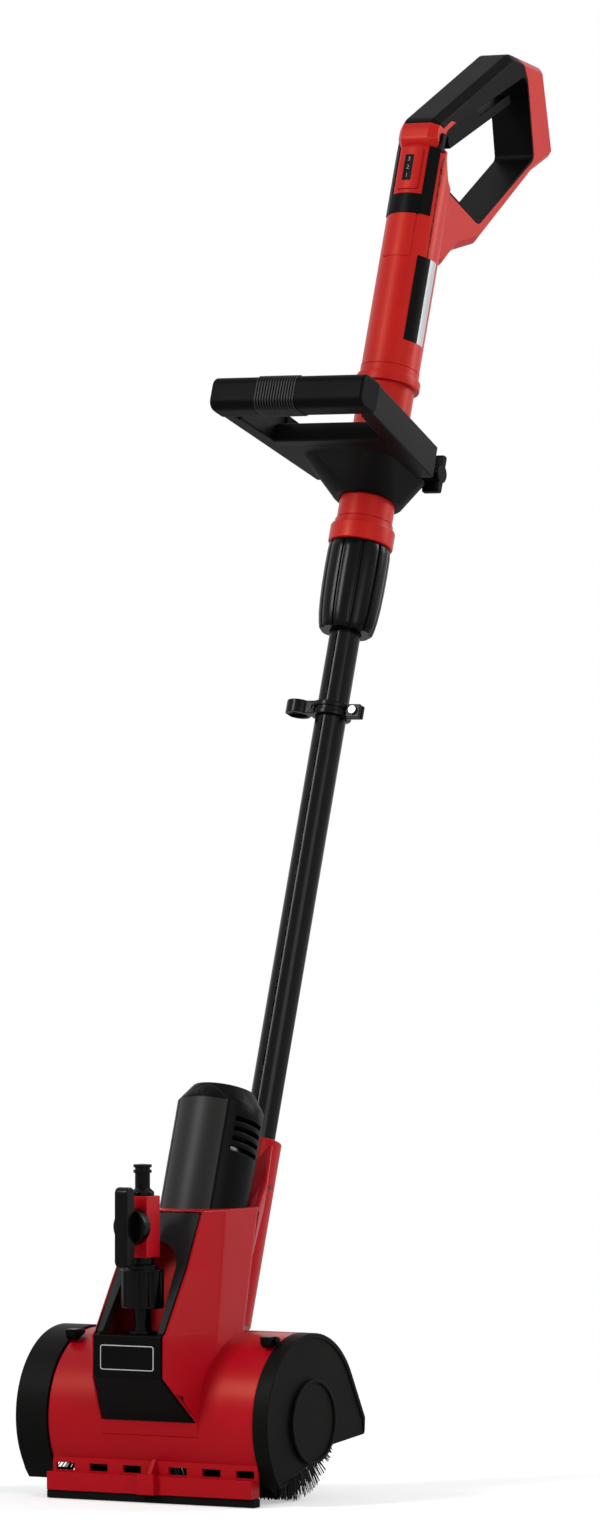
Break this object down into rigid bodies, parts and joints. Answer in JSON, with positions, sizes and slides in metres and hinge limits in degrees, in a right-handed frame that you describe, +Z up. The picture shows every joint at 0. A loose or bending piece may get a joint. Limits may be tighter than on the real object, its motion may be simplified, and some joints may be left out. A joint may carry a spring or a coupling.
{
  "type": "electric patio cleaner",
  "caption": "Upright roller brush cleaner: brush head with water inlet and valve, tilted telescopic pole, clamped second handle and a rear loop handle with trigger and slide-on battery face.",
  "frame": {"origin": "middle of the underside of the front rubber strip, on the floor", "axes": "+X to the machine's right, -Y towards its front, +Z up"},
  "size_m": [0.28, 0.7792, 1.3851],
  "materials": {
    "red_plastic": "satin",
    "black_plastic": "fine texture",
    "soft_black": "soft touch",
    "pole_black": "glossy",
    "black_rubber": "matt",
    "bristle": "matt",
    "steel": "brushed",
    "brass": "machined",
    "magnet": "matt"
  },
  "bodies": {
    "head": {"front_housing": "red_plastic", "rear_housing": "red_plastic", "bib_cover": "black_plastic", "left_hood": "black_plastic", "right_hood": "black_plastic", "front_strip": "black_rubber", "rear_flap": "black_rubber", "gearbox_left": "black_plastic", "gearbox_right": "black_plastic", "gearbox_bearings": "steel", "motor_bearings": "steel", "motor_can": "steel", "motor_magnets": "magnet", "motor_cover_front": "black_plastic", "motor_cover_rear": "black_plastic", "pole": "pole_black", "pole_top_bush": "black_plastic", "pole_bolt": "steel", "water_inlet": "black_plastic", "coupler_core": "black_plastic", "valve_block": "red_plastic", "hose_nipple": "black_plastic"},
    "brush": {"brush_axle": "steel", "axle_gear": "steel", "left_brush_hub": "black_plastic", "right_brush_hub": "black_plastic", "left_bristles": "bristle", "right_bristles": "bristle", "brush_clips": "steel"},
    "layshaft_set": {"layshaft": "steel", "bevel_wheel": "steel", "spur_pinion": "steel"},
    "rotor": {"motor_shaft": "steel", "rotor_core": "steel", "bevel_pinion": "steel", "cooling_fan": "black_plastic"},
    "collar": {"coupler_collar": "black_plastic"},
    "valve": {"valve_knob": "black_plastic", "valve_ball": "brass"},
    "left_latch_lever": {"left_latch": "black_plastic"},
    "right_latch_lever": {"right_latch": "black_plastic"},
    "clip": {"hose_clip": "black_plastic", "hose_clip_screw": "steel"},
    "upper": {"grip_tube": "red_plastic", "collet": "black_plastic", "left_handle_shell": "red_plastic", "right_handle_shell": "red_plastic", "soft_grip": "soft_black", "terminal_block": "black_plastic", "contact_blades": "brass", "switch": "black_plastic", "handle_screws": "steel"},
    "twist": {"twist_sleeve": "black_plastic"},
    "second_handle": {"aux_handle": "black_plastic", "aux_bolt": "steel"},
    "clamp_knob": {"aux_knob": "black_plastic"},
    "trigger_lever": {"trigger": "black_plastic"},
    "lock_off": {"lock_off_button": "black_plastic"},
    "speed": {"speed_wheel": "black_plastic"}
  },
  "joints": [
    {"name": "brush_spin", "type": "hinge", "parent": "head", "child": "brush", "pos_m": [0, 0.074, 0.075], "axis": [1, 0, 0], "continuous": true},
    {"name": "layshaft_spin", "type": "hinge", "parent": "head", "child": "layshaft_set", "pos_m": [0, 0.04052, 0.1202], "axis": [1, 0, 0], "continuous": true},
    {"name": "motor_spin", "type": "hinge", "parent": "head", "child": "rotor", "pos_m": [0, 0.04052, 0.1202], "axis": [0, 0.3156, 0.9489], "continuous": true},
    {"name": "collar_slide", "type": "slide", "parent": "head", "child": "collar", "axis": [0, 0, 1], "range_m": [0, 0.006], "stiffness_N_per_m": 200, "springref_m": -0.004},
    {"name": "valve_turn", "type": "hinge", "parent": "head", "child": "valve", "pos_m": [0, -0.018, 0.257], "axis": [0, 1, 0], "range_deg": [0, 90]},
    {"name": "left_latch_lift", "type": "hinge", "parent": "head", "child": "left_latch_lever", "pos_m": [-0.112, 0.0353, 0.15096], "axis": [-1, 0, 0], "range_deg": [0, 15], "stiffness_Nm_per_rad": 0.05, "springref_deg": -5.73},
    {"name": "right_latch_lift", "type": "hinge", "parent": "head", "child": "right_latch_lever", "pos_m": [0.112, 0.0353, 0.15096], "axis": [-1, 0, 0], "range_deg": [0, 15], "stiffness_Nm_per_rad": 0.05, "springref_deg": -5.73},
    {"name": "telescope_slide", "type": "slide", "parent": "head", "child": "upper", "axis": [0, -0.3156, -0.9489], "range_m": [0, 0.24]},
    {"name": "clip_slide", "type": "slide", "parent": "head", "child": "clip", "axis": [0, -0.3156, -0.9489], "range_m": [0, 0.24]},
    {"name": "twist_lock", "type": "hinge", "parent": "upper", "child": "twist", "pos_m": [0, 0.34925, 0.80939], "axis": [0, 0.3156, 0.9489], "range_deg": [0, 120]},
    {"name": "second_handle_slide", "type": "slide", "parent": "upper", "child": "second_handle", "axis": [0, 0.3156, 0.9489], "range_m": [-0.016, 0.054]},
    {"name": "clamp_knob_turn", "type": "hinge", "parent": "second_handle", "child": "clamp_knob", "pos_m": [0.052, 0.44592, 0.96377], "axis": [1, 0, 0], "range_deg": [0, 360]},
    {"name": "trigger_pull", "type": "hinge", "parent": "upper", "child": "trigger_lever", "pos_m": [0, 0.52997, 1.31827], "axis": [1, 0, 0], "range_deg": [0, 5], "stiffness_Nm_per_rad": 2, "springref_deg": -2.86},
    {"name": "lock_off_push", "type": "slide", "parent": "upper", "child": "lock_off", "axis": [1, 0, 0], "range_m": [-0.0015, 0.0015], "stiffness_N_per_m": 200},
    {"name": "speed_turn", "type": "hinge", "parent": "upper", "child": "speed", "pos_m": [0, 0.48149, 1.25762], "axis": [1, 0, 0], "range_deg": [0, 270]}
  ],
  "couplings": [
    {"joint": "layshaft_spin", "follows": "brush_spin", "ratio": -2.2143},
    {"joint": "motor_spin", "follows": "brush_spin", "ratio": 4.4286},
    {"joint": "clip_slide", "follows": "telescope_slide", "ratio": 1}
  ]
}
